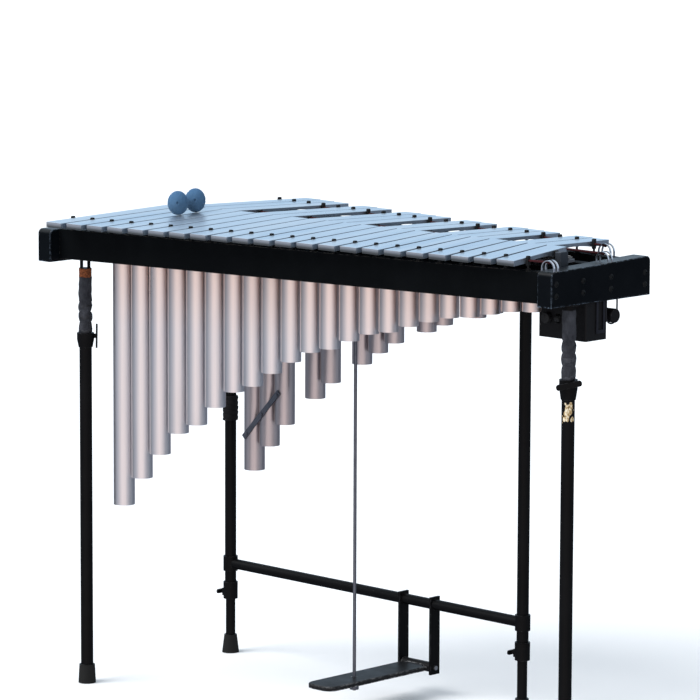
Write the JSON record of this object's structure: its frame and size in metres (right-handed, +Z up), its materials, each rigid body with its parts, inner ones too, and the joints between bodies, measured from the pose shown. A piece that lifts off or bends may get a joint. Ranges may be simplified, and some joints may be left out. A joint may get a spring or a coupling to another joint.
{
  "type": "vibraphone",
  "caption": "Three-octave vibraphone: tapered rows of metal bars over resonator tubes with motor-driven fans, damper pedal, four telescopic legs and two yarn mallets.",
  "frame": {"origin": "on the floor, under the middle of the object's box", "axes": "+X from the low notes to the high notes, +Y away from the player, +Z up"},
  "size_m": [1.1188, 0.6352, 0.9086],
  "materials": {
    "bar_metal": "brushed satin",
    "post_black": "matte",
    "cord": "braided cord",
    "rail_black": "black paint over wood",
    "screw_steel": "satin",
    "chrome": "polished",
    "tube_metal": "satin",
    "strip_metal": "satin",
    "zinc": "satin",
    "belt_rubber": "matte",
    "motor_black": "semi-matte",
    "box_black": "semi-matte",
    "knob_black": "gloss",
    "felt": "felt",
    "leg_black": "black enamel",
    "foam": "foam with tape",
    "yarn": "wound yarn",
    "birch": "varnished",
    "pedal_metal": "black enamel",
    "brass": "polished"
  },
  "bodies": {
    "frame": {"natural_bars_low": "bar_metal", "natural_bars_high": "bar_metal", "accidental_bars_low": "bar_metal", "accidental_bars_high": "bar_metal", "natural_bar_posts": "post_black", "accidental_bar_posts": "post_black", "natural_bar_cord": "cord", "accidental_bar_cord": "cord", "cord_hooks": "chrome", "front_rail": "rail_black", "natural_inner_rail": "rail_black", "accidental_inner_rail": "rail_black", "rear_rail": "rail_black", "end_beam_low": "rail_black", "end_beam_high": "rail_black", "frame_screws": "screw_steel", "natural_resonator_tubes": "tube_metal", "accidental_resonator_tubes": "tube_metal", "resonator_stoppers": "tube_metal", "natural_bank_strips": "strip_metal", "accidental_bank_strips": "strip_metal", "bearing_brackets": "zinc", "resonator_strap": "zinc", "fan_link_belt": "belt_rubber", "motor_belt": "belt_rubber", "motor": "motor_black", "motor_and_box_clamps": "zinc", "control_box": "box_black", "control_box_cover": "box_black", "power_inlet": "knob_black", "damper_springs": "zinc", "damper_spring_seats": "zinc", "pedal_pin": "screw_steel", "pedal_hangers": "leg_black", "leg_stretcher": "leg_black", "leg_sockets": "leg_black", "leg_upper_tubes": "leg_black", "leg_foam_sleeves": "foam", "rear_leg_clamps": "leg_black"},
    "natural_fan": {"natural_fan_shaft": "screw_steel", "natural_fan_discs": "strip_metal", "natural_fan_pulley": "knob_black"},
    "accidental_fan": {"accidental_fan_shaft": "screw_steel", "accidental_fan_discs": "strip_metal", "accidental_fan_pulleys": "knob_black"},
    "motor_rotor": {"motor_pulley": "brass"},
    "knob": {"speed_knob": "knob_black"},
    "switch": {"power_switch": "knob_black"},
    "damper": {"damper_bar": "strip_metal", "damper_felt": "felt", "damper_pull_rod": "zinc"},
    "pedal": {"damper_pedal": "pedal_metal"},
    "front_left_leg": {"front_left_lower_leg": "leg_black"},
    "front_right_leg": {"front_right_lower_leg": "leg_black"},
    "rear_left_leg": {"rear_left_lower_leg": "leg_black"},
    "rear_right_leg": {"rear_right_lower_leg": "leg_black"},
    "left_mallet": {"left_mallet_head": "yarn", "left_mallet_shaft": "birch"},
    "right_mallet": {"right_mallet_head": "yarn", "right_mallet_shaft": "birch"}
  },
  "joints": [
    {"name": "pedal_press", "type": "hinge", "parent": "frame", "child": "pedal", "pos_m": [0.00031, 0.16816, 0.054], "axis": [1, 0, 0], "range_deg": [0, 4.09], "stiffness_Nm_per_rad": 120, "springref_deg": -3.44},
    {"name": "damper_drop", "type": "slide", "parent": "frame", "child": "damper", "axis": [0, 0, -1], "range_m": [0, 0.012], "deforming": ["damper_springs"]},
    {"name": "natural_fan_spin", "type": "hinge", "parent": "frame", "child": "natural_fan", "pos_m": [-0.00469, -0.11074, 0.814], "axis": [0.9962, 0.0877, 0], "continuous": true},
    {"name": "accidental_fan_spin", "type": "hinge", "parent": "frame", "child": "accidental_fan", "pos_m": [-0.00469, 0.12391, 0.814], "axis": [0.9953, -0.0965, 0], "continuous": true},
    {"name": "motor_spin", "type": "hinge", "parent": "frame", "child": "motor_rotor", "pos_m": [0.50381, 0.06616, 0.751], "axis": [1, 0, 0], "continuous": true},
    {"name": "speed_knob_turn", "type": "hinge", "parent": "frame", "child": "knob", "pos_m": [0.45731, -0.01884, 0.748], "axis": [0, -1, 0], "range_deg": [0, 270]},
    {"name": "power_switch_rock", "type": "hinge", "parent": "frame", "child": "switch", "pos_m": [0.47931, -0.01134, 0.748], "axis": [1, 0, 0], "range_deg": [0, 14]},
    {"name": "front_left_leg_slide", "type": "slide", "parent": "frame", "child": "front_left_leg", "axis": [0, 0, -1], "range_m": [0, 0.15]},
    {"name": "front_right_leg_slide", "type": "slide", "parent": "frame", "child": "front_right_leg", "axis": [0, 0, -1], "range_m": [0, 0.15]},
    {"name": "rear_left_leg_slide", "type": "slide", "parent": "frame", "child": "rear_left_leg", "axis": [0, 0, -1], "range_m": [0, 0.15]},
    {"name": "rear_right_leg_slide", "type": "slide", "parent": "frame", "child": "rear_right_leg", "axis": [0, 0, -1], "range_m": [0, 0.15]},
    {"name": "left_mallet_lift", "type": "slide", "parent": "frame", "child": "left_mallet", "axis": [0, 0, 1], "range_m": [0, 0.15]},
    {"name": "right_mallet_lift", "type": "slide", "parent": "frame", "child": "right_mallet", "axis": [0, 0, 1], "range_m": [0, 0.15]}
  ],
  "couplings": [
    {"joint": "damper_drop", "follows": "pedal_press", "m_per_rad": 0.168},
    {"joint": "accidental_fan_spin", "follows": "natural_fan_spin", "ratio": 1},
    {"joint": "motor_spin", "follows": "natural_fan_spin", "ratio": 3}
  ]
}
